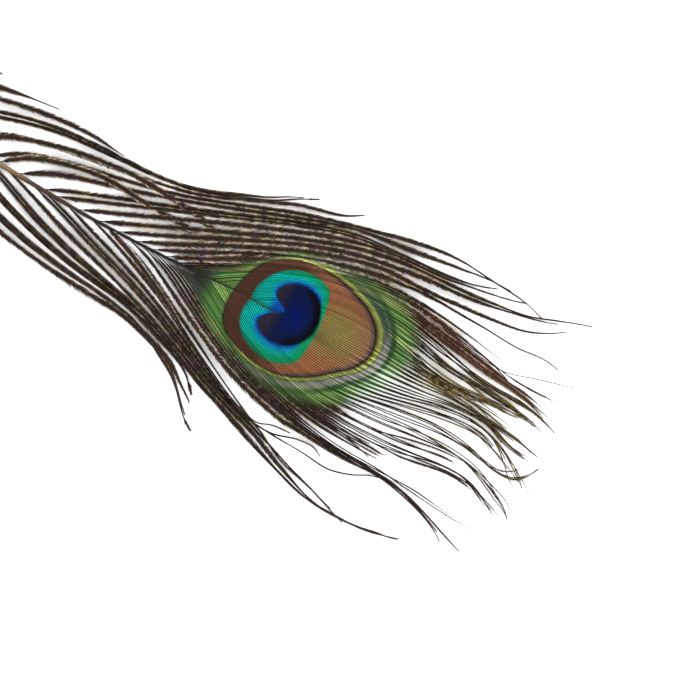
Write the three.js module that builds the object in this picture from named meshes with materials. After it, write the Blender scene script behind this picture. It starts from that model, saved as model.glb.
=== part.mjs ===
// A short peacock tail feather that lies on its back, with its eye facing up.
// Millimetres. +X runs along the shaft to the tip, +Y to the feather's left, +Z up.
// The origin is on the surface that the feather rests on, under the shaft, at the centre
// of the eye's blue disc.
//
// The barbs branch off the shaft one by one, and neighbours hook together into locks.
// One lock is one closed plate, from its roots beside the shaft to its tips.

import * as THREE from 'three';

// ---- driving dimensions ----

// The shaft's line in plan, from the end of the quill to the tip, with its radius there.
const SHAFT_LINE = [
  { x: -195, y: 1.6, radius: 0.7 },
  { x: -188, y: 1.4, radius: 1.35 },
  { x: -172, y: 0.9, radius: 1.5 },
  { x: -150, y: 0.2, radius: 1.35 },
  { x: -125, y: -1.2, radius: 1.1 },
  { x: -100, y: -2.2, radius: 0.85 },
  { x: -75, y: -2.7, radius: 0.62 },
  { x: -58, y: -2.8, radius: 0.5 },
  { x: -42, y: -2.2, radius: 0.42 },
  { x: -28, y: -1.35, radius: 0.37 },
  { x: -15, y: -0.2, radius: 0.34 },
  { x: 0, y: 0, radius: 0.3 },
  { x: 3.5, y: 0.1, radius: 0.24 },
];
const SHAFT_SIDES = 8;
const SHAFT_STEPS = 44;

const LOCK_THICKNESS = 0.36;
const LOCK_TIP_THICKNESS = 0.26;
const LOCK_STEPS = 15;
const LOCK_MOST_HALF_WIDTH = 2.6;
const LOCK_LEAST_HALF_WIDTH = 0.16;
const LOCK_GAP = 0.36;
const SHAFT_GAP = 0.32;
const ROOT_HEIGHT = 0.55;
const ARCH_HEIGHT = 2.6;
const CLUMP_AT_TIP = 0.4;
// A neighbour counts as ending from this share of its length.
const ENDS_FROM = 0.85;

// Each lock's middle line in plan, [x, y] from the shaft to the tips. The lists run from
// the quill up the left side, round the tip, and back down the right side.
const LOOSE_LEFT = [
  [[-150, 0.2], [-141, 5], [-128, 11], [-112, 16], [-98, 19.5]],
  [[-138, -0.6], [-128, 6], [-112, 12], [-95, 16], [-80, 18.5]],
  [[-126, -1.2], [-116, 5.5], [-100, 11.5], [-85, 15], [-72, 16.5], [-58, 16.2]],
  [[-114, -1.7], [-104, 5], [-90, 10.5], [-66, 14.8], [-50, 15.8], [-30, 20.8], [-20, 25.3], [-6, 32.8]],
  [[-102, -2.1], [-92, 4.5], [-80, 8.5], [-66, 11.2], [-38, 16.8], [-25, 22.3], [-12, 28], [9.7, 37.5]],
  [[-91, -2.3], [-82, 3.5], [-64, 8.7], [-38, 15.5], [-10, 26.8], [5, 31.5], [20, 35.3], [44, 37.9]],
  [[-81, -2.5], [-72, 2.5], [-50, 9.8], [-25, 19], [-10, 25.2], [5, 30], [20, 33.3], [42, 36.6]],
  [[-72, -2.6], [-62, 1.5], [-38, 11.5], [-10, 23.5], [5, 28.5], [20, 31.3], [42, 34.8], [57, 41.3]],
  [[-64.5, -2.7], [-54, 2], [-30, 13], [0, 25.3], [15, 28.9], [42, 33.2], [52, 36.2], [63.5, 43]],
  [[-58, -2.6], [-48, 1.8], [-24, 13], [5, 25], [20, 28.2], [48, 31.8], [58, 34.3], [73, 40]],
  [[-52, -2.5], [-42, 2], [-18, 14], [10, 25], [25, 27.8], [52, 30.8], [61, 34], [73.5, 38.2]],
  [[-46.5, -2.3], [-38, 1.5], [-14, 14], [14, 24.3], [28, 25.6], [50, 28], [58, 29.8], [70, 36.6]],
  [[-41.5, -2.1], [-32, 2.5], [-8, 15], [5, 20], [18, 23.2], [45, 24.6], [67, 26], [80, 22.8]],
];
const EYE_LEFT = [
  [[-37, -1.9], [-28, 2.5], [-5, 14.8], [8, 19], [20, 21.5], [32, 22], [55, 19.6], [68, 18.4]],
  [[-33, -1.7], [-24, 3], [-3, 14.5], [10, 18.5], [22, 20], [50, 18], [65, 16], [80.5, 16.2]],
  [[-29, -1.4], [-20, 4], [0, 14.3], [12, 17.5], [25, 18.5], [55, 15], [80.5, 11]],
  [[-24, -1], [-16, 4.5], [4, 13.8], [15, 16], [27, 16], [57, 12], [80, 9.2]],
  [[-18.5, -0.4], [-10, 5], [9, 12.5], [20, 13.5], [32, 12.5], [58, 9.6], [77, 7.6]],
  [[-12.5, 0], [-4, 5], [15, 10.5], [26, 10], [50, 7.4], [74, 6.2]],
  [[-6, 0.1], [2, 4], [11, 6.5], [22, 7], [45, 6], [70, 4.2]],
  [[0, 0.1], [7, 2.5], [16, 3.8], [38, 3.6], [60, 3.6], [80, 1.4]],
];
const EYE_RIGHT = [
  [[3, 0], [11, -0.8], [20, -1.6], [43, 0.6], [63, 2], [71, -0.3], [80, -1.2]],
  [[-1, 0], [6, -2.7], [14, -4.2], [25, -4.6], [48, -0.4], [58, 0.8], [73, -3.4], [82.5, -10]],
  [[-6, 0], [1, -3.8], [9, -6.2], [19, -7.2], [42, -3.5], [53, -1.7], [69, -4.2], [78.5, -8.6]],
  [[-11, 0], [-4, -4.5], [4, -7.7], [14, -9.6], [25, -9.3], [50, -5.7], [60, -6.1], [72, -8.2]],
  [[-16, -0.1], [-8.5, -4.8], [10, -11.3], [21, -12], [48, -9.6], [62, -9.5], [72, -12], [82, -18.7]],
  [[-20.5, -0.6], [-13, -4.7], [6, -12.3], [17, -14], [30, -14.2], [62, -11.6]],
  [[-24.5, -1], [-17, -4.5], [2, -12.8], [12, -15.5], [24, -16.8], [48, -15.8], [67, -14.7], [78, -18.8]],
  [[-28, -1.3], [-21, -4], [-2, -13.2], [9, -16.7], [20, -18.5], [45, -19.2]],
  [[-31.5, -1.6], [-24, -4], [-5, -13.5], [6, -17.3], [18, -19.6], [43.5, -20.8]],
  [[-35.5, -1.9], [-28, -4], [-9, -13.5], [2, -17.8], [14, -20.8], [28, -22.2], [66, -23.8], [77.5, -23.2]],
];
const LOOSE_RIGHT = [
  [[-40, -2.1], [-32, -4.5], [-13, -14], [-2, -18.6], [10, -21.8], [48, -24], [60, -26.4], [74, -31.8]],
  [[-45, -2.3], [-37, -4.5], [-17, -14.8], [5, -22.3], [18, -24], [46, -24.9], [57, -27.4], [69.5, -33]],
  [[-51, -2.5], [-42, -5], [-31, -10], [-9, -21], [6, -26.2]],
  [[-58.5, -2.6], [-50, -5], [-27, -14], [-5, -24.2], [13, -28], [20, -26.8], [25, -26.6], [31, -28.5]],
  [[-67, -2.7], [-58, -5.5], [-34, -13], [-10, -23.2], [0, -26.8], [22, -30], [31, -29.9], [41, -25.9]],
  [[-75.5, -2.6], [-66, -5], [-42, -12], [-18, -21], [-6, -26], [15, -31.5], [28, -35], [38, -37.2]],
  [[-84.5, -2.4], [-75, -5], [-50, -12], [-14, -24], [8, -31], [20, -35], [32, -38.4], [58, -36.2]],
  [[-94, -2.3], [-84, -5.5], [-58, -13.5], [-34, -18], [0, -30], [20, -37], [32, -39.8], [57, -37.6]],
  [[-104, -2.1], [-94, -6], [-62, -15.3], [-38, -18.5], [-26, -21.8], [-16, -25.8], [-8.5, -31.8]],
  [[-115, -1.7], [-104, -6.5], [-72, -16.5], [-45, -19.3], [-22, -25], [-15, -30], [-1.5, -39.7]],
  [[-126, -1.2], [-115, -7], [-84, -17.5], [-66, -20], [-30, -22.8], [-18, -28.5], [-12, -34.5], [-5, -38.2]],
  [[-138, -0.6], [-128, -7.5], [-112, -14], [-96, -19], [-78, -22]],
  [[-150, 0.2], [-141, -6], [-128, -12], [-112, -17], [-98, -20]],
];

// ---- materials ----

function keratin(name, colour, roughness) {
  return new THREE.MeshStandardMaterial({ name, color: colour, roughness, metalness: 0 });
}

const SHAFT_COLOUR = 0x6b5540;
const LOOSE_COLOUR = 0x3a2e24;
const EYE_COLOUR = 0x4a6a3a;

// ---- curves ----

function smoothStep(low, high, value) {
  const t = THREE.MathUtils.clamp((value - low) / (high - low), 0, 1);
  return t * t * (3 - 2 * t);
}

const shaftCurve = new THREE.CatmullRomCurve3(
  SHAFT_LINE.map((station) => new THREE.Vector3(station.x, station.y, 0)),
);

function shaftRadiusAt(x) {
  const last = SHAFT_LINE.length - 1;
  const found = SHAFT_LINE.findIndex((station) => station.x >= x);
  const next = found < 0 ? last : Math.max(found, 1);
  const from = SHAFT_LINE[next - 1];
  const to = SHAFT_LINE[next];
  const share = THREE.MathUtils.clamp((x - from.x) / (to.x - from.x), 0, 1);
  return THREE.MathUtils.lerp(from.radius, to.radius, share);
}

// The shaft's middle line as short steps, for measuring how far a point is from its skin.
const SHAFT_PROBES = shaftCurve.getSpacedPoints(400);

function clearanceToShaft(point) {
  let least = Infinity;
  for (const probe of SHAFT_PROBES) {
    const apart = Math.hypot(point.x - probe.x, point.y - probe.y) - shaftRadiusAt(probe.x);
    least = Math.min(least, apart);
  }
  return least;
}

function guideCurve(points) {
  return new THREE.CatmullRomCurve3(points.map(([x, y]) => new THREE.Vector3(x, y, 0)));
}

// The point at a true distance along a guide, held at its ends.
function pointAlong(guide, distance) {
  const share = THREE.MathUtils.clamp(distance / guide.length, 0, 1);
  return guide.curve.getPointAt(share);
}

// ---- the shaft ----

// An eight-sided tube that tapers, with one side flat on the resting surface.
function makeShaft() {
  const tube = new THREE.CylinderGeometry(1, 1, 1, SHAFT_SIDES, SHAFT_STEPS);
  tube.rotateY(Math.PI / SHAFT_SIDES);
  const place = tube.attributes.position;
  const flatSide = Math.cos(Math.PI / SHAFT_SIDES);
  for (let i = 0; i < place.count; i += 1) {
    const share = THREE.MathUtils.clamp(place.getY(i) + 0.5, 0, 1);
    const centre = shaftCurve.getPointAt(share);
    const along = shaftCurve.getTangentAt(share);
    const radius = shaftRadiusAt(centre.x);
    const aside = radius * place.getX(i);
    const height = radius * (flatSide + place.getZ(i));
    place.setXYZ(i, centre.x + aside * along.y, centre.y - aside * along.x, Math.max(height, 0));
  }
  const mesh = new THREE.Mesh(tube, keratin('shaft', SHAFT_COLOUR, 0.45));
  mesh.name = 'shaft';
  return mesh;
}

// ---- the locks ----

// A lock rises from the shaft's side in a low arch and comes down until its tips touch.
function lockHeight(share) {
  const middle = THREE.MathUtils.lerp(ROOT_HEIGHT, LOCK_TIP_THICKNESS / 2, share);
  return middle + ARCH_HEIGHT * Math.sin(Math.PI * share ** 0.8);
}

// One edge of a lock: half way to the neighbour, less half the gap between them. Where the
// neighbour has ended, the lock narrows to its least width, square to its own line.
function edgePoint(guide, neighbour, distance) {
  const middle = pointAlong(guide, distance);
  const along = guide.curve.getTangentAt(THREE.MathUtils.clamp(distance / guide.length, 0, 1));
  const ended = smoothStep(ENDS_FROM, 1, distance / neighbour.length);
  const towards = pointAlong(neighbour, distance).sub(middle);
  towards.addScaledVector(along, -towards.dot(along) * ended);
  const apart = towards.length();
  const clump = 1 - (1 - CLUMP_AT_TIP) * smoothStep(0.45, 1, distance / guide.length);
  const half = THREE.MathUtils.clamp(
    (apart / 2) * clump * (1 - ended) - LOCK_GAP / 2,
    LOCK_LEAST_HALF_WIDTH,
    LOCK_MOST_HALF_WIDTH,
  );
  return middle.addScaledVector(towards, half / apart);
}

// The distance along a lock at which this edge is clear of the shaft.
function edgeStart(guide, neighbour) {
  const step = 0.1;
  let distance = 0;
  while (clearanceToShaft(edgePoint(guide, neighbour, distance)) < SHAFT_GAP) {
    distance += step;
  }
  return distance;
}

// The guide beyond the outermost one, which mirrors its inner neighbour.
function outerNeighbour(guide, inner) {
  const points = guide.points.map(([x, y]) => {
    const share = (x - guide.points[0][0]) / (guide.points.at(-1)[0] - guide.points[0][0]);
    const beside = inner.curve.getPointAt(THREE.MathUtils.clamp(share, 0, 1));
    const self = guide.curve.getPointAt(THREE.MathUtils.clamp(share, 0, 1));
    return [2 * self.x - beside.x, 2 * self.y - beside.y];
  });
  const curve = guideCurve(points);
  return { points, curve, length: curve.getLength() };
}

function makeLock(guide, before, after) {
  const plate = new THREE.BoxGeometry(1, 1, 1, LOCK_STEPS, 1, 1);
  const place = plate.attributes.position;
  const starts = { before: edgeStart(guide, before), after: edgeStart(guide, after) };
  for (let i = 0; i < place.count; i += 1) {
    const share = place.getX(i) + 0.5;
    const onBefore = place.getY(i) > 0;
    const neighbour = onBefore ? before : after;
    const start = onBefore ? starts.before : starts.after;
    const distance = THREE.MathUtils.lerp(start, guide.length, share);
    const edge = edgePoint(guide, neighbour, distance);
    const thickness = THREE.MathUtils.lerp(LOCK_THICKNESS, LOCK_TIP_THICKNESS, share);
    const height = lockHeight(distance / guide.length) + thickness * place.getZ(i);
    place.setXYZ(i, edge.x, edge.y, Math.max(height, 0));
  }
  const mesh = new THREE.Mesh(plate, keratin(guide.finish, guide.colour, 0.6));
  mesh.name = guide.name;
  return mesh;
}

function nameLocks(prefix, finish, colour, lists) {
  return lists.map((points, index) => {
    const curve = guideCurve(points);
    const number = String(index + 1).padStart(2, '0');
    return { name: `${prefix}_${number}`, finish, colour, points, curve, length: curve.getLength() };
  });
}

function makeLocks() {
  const guides = [
    ...nameLocks('loose_barbs_left', 'loose_barbs', LOOSE_COLOUR, LOOSE_LEFT),
    ...nameLocks('eye_barbs_left', 'eye_barbs', EYE_COLOUR, EYE_LEFT),
    ...nameLocks('eye_barbs_right', 'eye_barbs', EYE_COLOUR, EYE_RIGHT),
    ...nameLocks('loose_barbs_right', 'loose_barbs', LOOSE_COLOUR, LOOSE_RIGHT),
  ];
  const last = guides.length - 1;
  const outerLeft = outerNeighbour(guides[0], guides[1]);
  const outerRight = outerNeighbour(guides[last], guides[last - 1]);
  return guides.map((guide, index) => {
    const before = guides[index - 1] ?? outerLeft;
    const after = guides[index + 1] ?? outerRight;
    return makeLock(guide, before, after);
  });
}

const feather = new THREE.Group();
feather.name = 'peacock_feather';
feather.add(makeShaft());
feather.add(...makeLocks());

export default feather;
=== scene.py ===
"""A short peacock tail feather lying on a pale floor, seen from straight above."""

import math

import bmesh
import bpy
import numpy as np
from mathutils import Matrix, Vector


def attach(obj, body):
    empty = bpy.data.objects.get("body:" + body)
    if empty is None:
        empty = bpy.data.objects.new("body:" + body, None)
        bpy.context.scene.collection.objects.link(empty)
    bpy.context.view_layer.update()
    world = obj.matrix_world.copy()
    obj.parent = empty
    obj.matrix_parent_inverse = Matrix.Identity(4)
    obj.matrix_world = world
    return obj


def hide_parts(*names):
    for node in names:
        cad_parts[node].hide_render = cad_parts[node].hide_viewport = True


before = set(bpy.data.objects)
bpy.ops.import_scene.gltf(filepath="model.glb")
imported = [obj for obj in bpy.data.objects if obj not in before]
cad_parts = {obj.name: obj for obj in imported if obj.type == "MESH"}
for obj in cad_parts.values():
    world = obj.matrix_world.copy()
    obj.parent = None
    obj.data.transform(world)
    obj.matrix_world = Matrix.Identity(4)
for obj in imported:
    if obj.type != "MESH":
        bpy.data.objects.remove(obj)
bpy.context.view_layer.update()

MM = 0.001
rng = np.random.default_rng(7)

# ---------------------------------------------------------------- camera

# The view is straight down, turned so that the shaft runs to the lower right.
VIEW_TURN = math.radians(30)
VIEW_WIDTH = 183.6 * MM
VIEW_CENTRE = (16.43 * MM, 2.32 * MM)
CAMERA_HEIGHT = 1.4
SENSOR_WIDTH = 36.0
CLOSEST = 0.05
FURTHEST = 20
FEATHER_HEIGHT = 1.8 * MM


def make_camera():
    data = bpy.data.cameras.new("camera_above")
    data.sensor_fit = "HORIZONTAL"
    data.sensor_width = SENSOR_WIDTH
    data.lens = SENSOR_WIDTH * (CAMERA_HEIGHT - FEATHER_HEIGHT) / VIEW_WIDTH
    data.clip_start = CLOSEST
    data.clip_end = FURTHEST
    camera = bpy.data.objects.new("camera_above", data)
    camera.location = (*VIEW_CENTRE, CAMERA_HEIGHT)
    camera.rotation_euler = (0, 0, VIEW_TURN)
    bpy.context.scene.collection.objects.link(camera)
    bpy.context.scene.camera = camera


make_camera()

# ---------------------------------------------------------------- the feather's lines, in mm

# The shaft's line in plan and its radius: x, y, radius.
SHAFT_LINE = [
    (-195, 1.6, 0.7), (-188, 1.4, 1.35), (-172, 0.9, 1.5), (-150, 0.2, 1.35),
    (-125, -1.2, 1.1), (-100, -2.2, 0.85), (-75, -2.7, 0.62), (-58, -2.8, 0.5),
    (-42, -2.2, 0.42), (-28, -1.35, 0.37), (-15, -0.2, 0.34), (0, 0, 0.3), (3.5, 0.1, 0.24),
]

# Each lock's middle line in plan, from its root on the shaft to its tips. The lists run
# from the quill up the left side, round the tip and back down the right side.
LOOSE_LEFT = [
    [(-150, 0.2), (-141, 5), (-128, 11), (-112, 16), (-98, 19.5)],
    [(-138, -0.6), (-128, 6), (-112, 12), (-95, 16), (-80, 18.5)],
    [(-126, -1.2), (-116, 5.5), (-100, 11.5), (-85, 15), (-72, 16.5), (-58, 16.2)],
    [(-114, -1.7), (-104, 5), (-90, 10.5), (-78, 13.5), (-66, 14.8), (-50, 15.8), (-40, 17.6),
     (-30, 20.8), (-20, 25.3), (-13, 29.6), (-6, 32.8)],
    [(-102, -2.1), (-92, 4.5), (-80, 8.5), (-66, 11.2), (-50, 14), (-38, 16.8), (-25, 22.3),
     (-12, 28), (0, 32), (5, 35), (9.7, 37.5)],
    [(-91, -2.3), (-82, 3.5), (-64, 8.7), (-50, 12), (-38, 15.5), (-25, 20.5), (-10, 26.5),
     (5, 31), (20, 35), (33, 37.3), (46, 36.8), (55, 36.2), (62, 34.4)],
    [(-81, -2.5), (-72, 2.5), (-62, 6), (-50, 9.8), (-38, 14), (-25, 19), (-10, 25), (5, 30.2),
     (20, 32.8), (33, 35), (45, 36.8), (56, 37)],
    [(-72, -2.6), (-62, 1.5), (-50, 6.5), (-38, 11.5), (-25, 17), (-10, 23.5), (5, 28.5),
     (20, 31), (33, 32.2), (42, 34), (50, 37), (57, 41.3)],
    [(-64.5, -2.7), (-54, 2), (-42, 7.5), (-30, 13), (-15, 19.5), (0, 25.5), (15, 29.3),
     (30, 31), (45, 33.8), (54, 36.2), (58.5, 38.6), (63.5, 43)],
    [(-58, -2.6), (-48, 1.8), (-36, 7.5), (-24, 13), (-10, 19.5), (5, 25.5), (20, 29), (35, 30.3),
     (50, 32), (57, 33.3), (64, 36), (73, 39.2), (77, 40.2)],
    [(-52, -2.5), (-42, 2), (-30, 8), (-18, 14), (-5, 20), (10, 25.2), (25, 28.3), (40, 29.7),
     (55, 32.4), (62, 34.4), (68, 36.8), (74, 38.6), (78, 39)],
    [(-46.5, -2.3), (-38, 1.5), (-26, 8), (-14, 14), (0, 20.3), (14, 24.6), (28, 25.4),
     (40, 26.6), (50, 28), (58, 29.8), (64, 32.8), (70, 37)],
    [(-41.5, -2.1), (-32, 2.5), (-20, 9), (-8, 15), (5, 20), (18, 23.5), (30, 25), (45, 25),
     (58, 25), (67, 26), (74, 24.8), (80, 23)],
]
EYE_LEFT = [
    [(-37, -1.9), (-28, 2.5), (-17, 8.5), (-5, 14.8), (8, 19), (20, 21.7), (32, 22), (45, 20.8),
     (55, 19.6), (68, 18.4)],
    [(-33, -1.7), (-24, 3), (-14, 9), (-3, 14.5), (10, 18.5), (22, 20.6), (35, 20), (50, 18),
     (62, 16.2), (70, 15.9), (80.5, 16.2)],
    [(-29, -1.4), (-20, 4), (-11, 9.5), (0, 14.3), (12, 17.5), (25, 18.5), (40, 17), (55, 15),
     (68, 13.5), (80.5, 10.8)],
    [(-24, -1.0), (-16, 4.5), (-7, 9.5), (4, 13.8), (15, 16), (27, 16), (42, 14), (57, 12),
     (70, 11.5), (80, 9)],
    [(-18.5, -0.4), (-10, 5), (-1, 9.3), (9, 12.5), (20, 13.5), (32, 12.5), (45, 10.5),
     (58, 9.8), (70, 9), (77, 7.8)],
    [(-12.5, 0), (-4, 5), (5, 8.5), (15, 10.5), (26, 10), (38, 8), (50, 7), (60, 8), (68, 8.5),
     (75, 8.8)],
    [(-6, 0.1), (2, 4), (11, 6.5), (22, 7), (34, 6), (45, 6), (56, 5.5), (66, 4.5), (70, 3.5)],
    [(0, 0.1), (7, 2.5), (16, 3.8), (27, 3.8), (38, 3.5), (48, 4), (60, 3.8), (70, 3), (80, 1)],
]
EYE_RIGHT = [
    [(3, 0), (11, -0.8), (20, -1.6), (32, -1.2), (43, 0.5), (53, 2.3), (63, 2.2), (71, -0.3),
     (79, -1)],
    [(-1, 0), (6, -2.7), (14, -4.2), (25, -4.6), (37, -2.8), (48, 0), (58, 1.2), (66, -0.3),
     (73, -3.8), (82.5, -10.5)],
    [(-6, 0), (1, -3.8), (9, -6.2), (19, -7.2), (30, -6.3), (42, -3.5), (53, -1.3), (62, -1.2),
     (70, -4), (78.5, -8.2)],
    [(-11, 0), (-4, -4.5), (4, -7.7), (14, -9.6), (25, -9.3), (37, -7.3), (50, -5.5), (60, -5.8),
     (70, -7.4), (76, -6), (79, -2.4), (80.5, 0.8)],
    [(-16, -0.1), (-8.5, -4.8), (0, -8.5), (10, -11.3), (21, -12), (34, -11), (48, -9.6),
     (62, -9.3), (72, -12), (78, -14.8), (82, -18.7)],
    [(-20.5, -0.6), (-13, -4.7), (-4, -9), (6, -12.3), (17, -14), (30, -14.2), (44, -12.8),
     (56, -11), (62, -11.2)],
    [(-24.5, -1.0), (-17, -4.5), (-8, -9), (2, -12.8), (12, -15.5), (24, -16.8), (36, -16.8),
     (48, -15.6), (60, -13.8), (67, -14.3), (78, -18.6)],
    [(-28, -1.3), (-21, -4), (-12, -8.8), (-2, -13.2), (9, -16.7), (20, -18.5), (32, -18.9),
     (43, -18.9)],
    [(-31.5, -1.6), (-24, -4), (-15, -8.7), (-5, -13.5), (6, -17.2), (18, -19.3), (30, -20.2),
     (43.5, -20.4)],
    [(-35.5, -1.9), (-28, -4), (-19, -8.5), (-9, -13.5), (2, -18), (14, -21.2), (28, -23),
     (42, -23.2), (55, -23.4), (66, -24.1), (77.5, -23.2)],
]
LOOSE_RIGHT = [
    [(-40, -2.1), (-32, -4.5), (-23, -9), (-13, -14), (-2, -18.6), (10, -21.8), (22, -23.3),
     (36, -23.5), (48, -24), (60, -27), (74, -32)],
    [(-45, -2.3), (-37, -4.5), (-27, -9.3), (-17, -14.2), (-6, -18.6), (5, -21.5), (18, -23.5),
     (32, -24.4), (46, -24.5), (57, -27), (65, -30.2), (69.5, -32.8)],
    [(-51, -2.5), (-42, -5), (-31, -10), (-20, -15.5), (-9, -21), (2, -26), (8, -28.6)],
    [(-58.5, -2.6), (-50, -5), (-38, -9.3), (-27, -14), (-16, -19.5), (-5, -25), (5, -28.3),
     (13, -28.8), (20, -26.7), (25, -26.4), (29, -28.5), (31, -28.8)],
    [(-67, -2.7), (-58, -5.5), (-46, -9), (-34, -13), (-22, -18), (-10, -23.5), (2, -28),
     (12, -29.2), (22, -29.2), (31, -29.6), (37, -27.7), (42, -25), (46, -24)],
    [(-75.5, -2.6), (-66, -5), (-53, -9), (-42, -12), (-30, -16), (-18, -21), (-6, -26),
     (4, -28.7), (15, -31.5), (28, -35.5), (40, -39.2), (43.5, -40.5)],
    [(-84.5, -2.4), (-75, -5), (-62, -9), (-50, -12), (-38, -15.5), (-26, -19.5), (-14, -24),
     (-3, -27.8), (8, -31), (20, -35.5), (32, -39.1), (43, -39.2), (52, -37.4), (58, -37)],
    [(-94, -2.3), (-84, -5.5), (-70, -10.5), (-58, -13.5), (-46, -15.8), (-34, -18), (-22, -22),
     (-10, -27), (0, -30), (10, -33.5), (20, -37), (30, -39.6), (40, -40), (50, -38.8),
     (58.5, -36.3)],
    [(-104, -2.1), (-94, -6), (-78, -11.5), (-62, -15.3), (-50, -17), (-38, -18.5),
     (-26, -21.8), (-16, -25.5), (-8.5, -31.8)],
    [(-115, -1.7), (-104, -6.5), (-88, -12.5), (-72, -16.5), (-56, -18.6), (-45, -19.3),
     (-33, -21.5), (-22, -25), (-15, -30), (-8, -35), (-1.5, -39.7)],
    [(-126, -1.2), (-115, -7), (-100, -13), (-84, -17.5), (-66, -20), (-52, -20.8), (-40, -21),
     (-30, -22.8), (-22, -25.3), (-18, -28.5), (-12, -34.5), (-8, -37.7), (-5, -38.2)],
    [(-138, -0.6), (-128, -7.5), (-112, -14), (-96, -19), (-78, -22)],
    [(-150, 0.2), (-141, -6), (-128, -12), (-112, -17), (-98, -20)],
]

# Single barbs that have slipped across their neighbours: the lock each belongs to, how full
# its barbules are, and its line.
STRAYS = {
    "loose_barbs_left_05": [
        (0.9, [(-99, -2.2), (-90, 4.2), (-78, 8.8), (-66, 11.6), (-54, 13), (-44, 12.9),
               (-35.5, 12.4), (-27, 10.9)]),
    ],
    "loose_barbs_left_06": [
        (0.9, [(-88, -2.4), (-80, 3.2), (-66, 7.6), (-58, 8.5), (-51, 8.2), (-41, 8.1),
               (-31.5, 7.7)]),
    ],
    "eye_barbs_left_01": [
        (0.0, [(-35, -1.8), (-26, 3.2), (-12, 11), (2, 17), (20, 20.6), (40, 18.6), (56, 17),
               (60, 17.2), (68, 19.8), (78, 22.8)]),
    ],
    "loose_barbs_right_04": [
        (0.0, [(-54, -2.6), (-46, -5), (-35, -9.6), (-22, -16), (-10, -22), (0, -26.4),
               (8, -28.2), (12, -26.8), (18, -26.2)]),
    ],
}

# ---------------------------------------------------------------- how the barbs stand, in mm

STEP = 0.5
SPLINE_PARTS = 24
EYE_PITCH = 0.57
# How far apart the barbs leave the shaft, at places along it.
ROOT_PITCH = (
    [-150, -100, -75, -55, -47, -41, -36, -33, -30, -27, -25, -20, -10, 3],
    [9.5, 9, 7, 5.9, 5.4, 4.5, 3.5, 2.8, 2.1, 1.5, 1.25, 1.05, 0.9, 0.8],
)
# From here on towards the tip, only the eye's own pitch counts.
EYE_PITCH_FROM = -22
# Locks that hold more barbs than their share of the shaft, in the thick bundles.
FEWEST = {
    "eye_barbs_left_02": 2, "eye_barbs_left_03": 4, "eye_barbs_left_04": 5,
    "eye_barbs_left_05": 7, "eye_barbs_left_06": 8, "eye_barbs_left_07": 7,
    "eye_barbs_right_07": 5, "eye_barbs_right_08": 4, "eye_barbs_right_09": 3,
    "eye_barbs_right_10": 3, "loose_barbs_right_01": 2, "loose_barbs_right_02": 2,
    "loose_barbs_right_08": 2, "loose_barbs_right_09": 2, "loose_barbs_right_10": 2,
}
# Locks that stay one dense band out to their tips, and locks that end bluntly.
DENSE_LOCKS = ("eye_barbs_left_02", "eye_barbs_left_03")
BLUNT_LOCKS = (
    "eye_barbs_right_06", "eye_barbs_right_07", "eye_barbs_right_08", "eye_barbs_right_09",
)
# Locks with a slit beside them all along, and on which sides: 1 is the left and -1 the right.
SLIT_SIDES = {"loose_barbs_right_02": (-1,), "loose_barbs_right_03": (1, -1)}

# Where along the feather the fringe starts to part, and the locks that part sooner.
FRINGE_FROM = 24
PARTS_SOONER = {
    "eye_barbs_left_08": 20, "eye_barbs_right_01": 19, "eye_barbs_right_02": 19,
    "eye_barbs_right_03": 16, "eye_barbs_right_04": 16, "eye_barbs_right_05": 17,
    "eye_barbs_right_06": 18, "eye_barbs_right_07": 17, "eye_barbs_right_08": 15,
    "eye_barbs_right_09": 12, "eye_barbs_right_10": 9,
}
# How long the vane takes to part, and its barbules to thin out.
PARTING_LENGTH = 10
THINNING_LENGTH = 17
# How far along some locks' barbs their barbules start to thin out, and along the others.
THIN_FROM = {
    "eye_barbs_left_02": 0.66, "eye_barbs_left_03": 0.84, "eye_barbs_left_04": 0.84,
    "eye_barbs_left_05": 0.82, "loose_barbs_left_03": 0.75, "loose_barbs_left_04": 0.75,
    "loose_barbs_left_05": 0.75, "loose_barbs_right_01": 0.64, "loose_barbs_right_02": 0.62,
    "loose_barbs_right_06": 0.62, "loose_barbs_right_07": 0.66, "loose_barbs_right_08": 0.6,
    "loose_barbs_right_09": 0.8, "loose_barbs_right_10": 0.78, "loose_barbs_right_11": 0.8,
}
EYE_THIN_FROM = 0.76

# Barbs of a lock cling together towards their tips: how many to a clump, how strongly the
# fringe gathers them, and how much of their room they keep.
BARBS_IN_CLUMP = 2.6
GATHERED = 0.6
EYE_CLUMP = 0.38
LOOSE_CLUMP = 0.4
SPREAD_CLUMP = 0.85
# They start and finish clinging at these places along the feather, or shares of a loose barb.
EYE_CLINGS = (36, 62)
LOOSE_CLINGS = (0.45, 0.8)
# The widest room that a barb takes of the gap between two locks.
WIDEST_VANE_GAP = 12.0
WIDEST_FRINGE_GAP = 6.4
WIDEST_LOOSE_GAP = 4.5

# How much shorter than its lock a barb may be.
SHORTER = 0.1
EYE_SHORTER = 0.16
# Each barb swings to either side: the shortest length of a swing over a turn, and how much
# longer it may be.
FULL_TURN = 6.3
WAVE = (9, 6)
RIPPLE = (3.4, 2)
ROLL = (7, 5)
RIPPLE_SHARE = 0.35
ROLL_ANGLE = 0.6
WANDERS = (0.45, 1)
# How far it wanders: mostly, when it goes astray, and alone in its lock.
WANDER = 0.5
ASTRAY = 2.0
ALONE = 0.2
ASTRAY_LUCK = 0.84

ROOT_HEIGHT = 0.55
TIP_HEIGHT = 0.16
ARCH_HEIGHT = 1.5
ARCH_BEND = 0.8
LIFT_HEIGHT = 1.8
LIFTS = (0.4, 0.8)
STRAY_HEIGHT = 0.7
# A barb is free of its neighbours where the gap to them is this wide.
FREE_GAP = (1.0, 1.8)
OPEN_GAP = 9.0
STRAY_GAP = 3.0


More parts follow.
